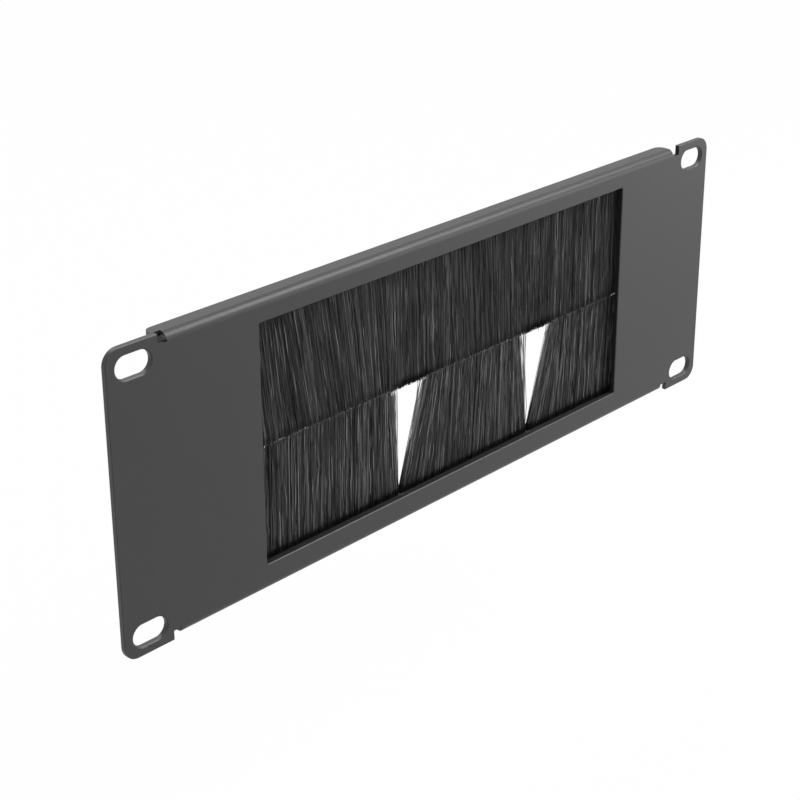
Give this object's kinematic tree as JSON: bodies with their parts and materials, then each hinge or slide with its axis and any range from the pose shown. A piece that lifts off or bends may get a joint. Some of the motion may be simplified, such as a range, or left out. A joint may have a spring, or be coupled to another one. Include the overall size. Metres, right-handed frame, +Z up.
{
  "type": "rack brush strip panel",
  "caption": "Folded rack panel with slotted ears and a wide window closed by an upper and a lower strip brush, whose bristles part where cables pass.",
  "frame": {"origin": "the middle of the four rack slots, on the back of the ears, where the panel meets the rack's rails", "axes": "+X along the panel to the right as seen from its front, +Y to its back, +Z up"},
  "size_m": [0.254, 0.0097, 0.0882],
  "materials": {
    "powder_coat": "matt powder coat",
    "rail_coat": "matt powder coat",
    "channel_coat": "black lacquer",
    "wire_steel": "drawn wire",
    "bristle_nylon": "fine bristles",
    "fastener_steel": "zinc plated"
  },
  "bodies": {
    "root": {"face_plate": "powder_coat", "upper_carrier_rail": "rail_coat", "upper_brush_channel": "channel_coat", "upper_core_wire": "wire_steel", "upper_bristles": "bristle_nylon", "lower_carrier_rail": "rail_coat", "lower_brush_channel": "channel_coat", "lower_core_wire": "wire_steel", "lower_bristles": "bristle_nylon", "weld_studs": "fastener_steel", "flat_washers": "fastener_steel", "hex_nuts": "fastener_steel"}
  },
  "joints": []
}
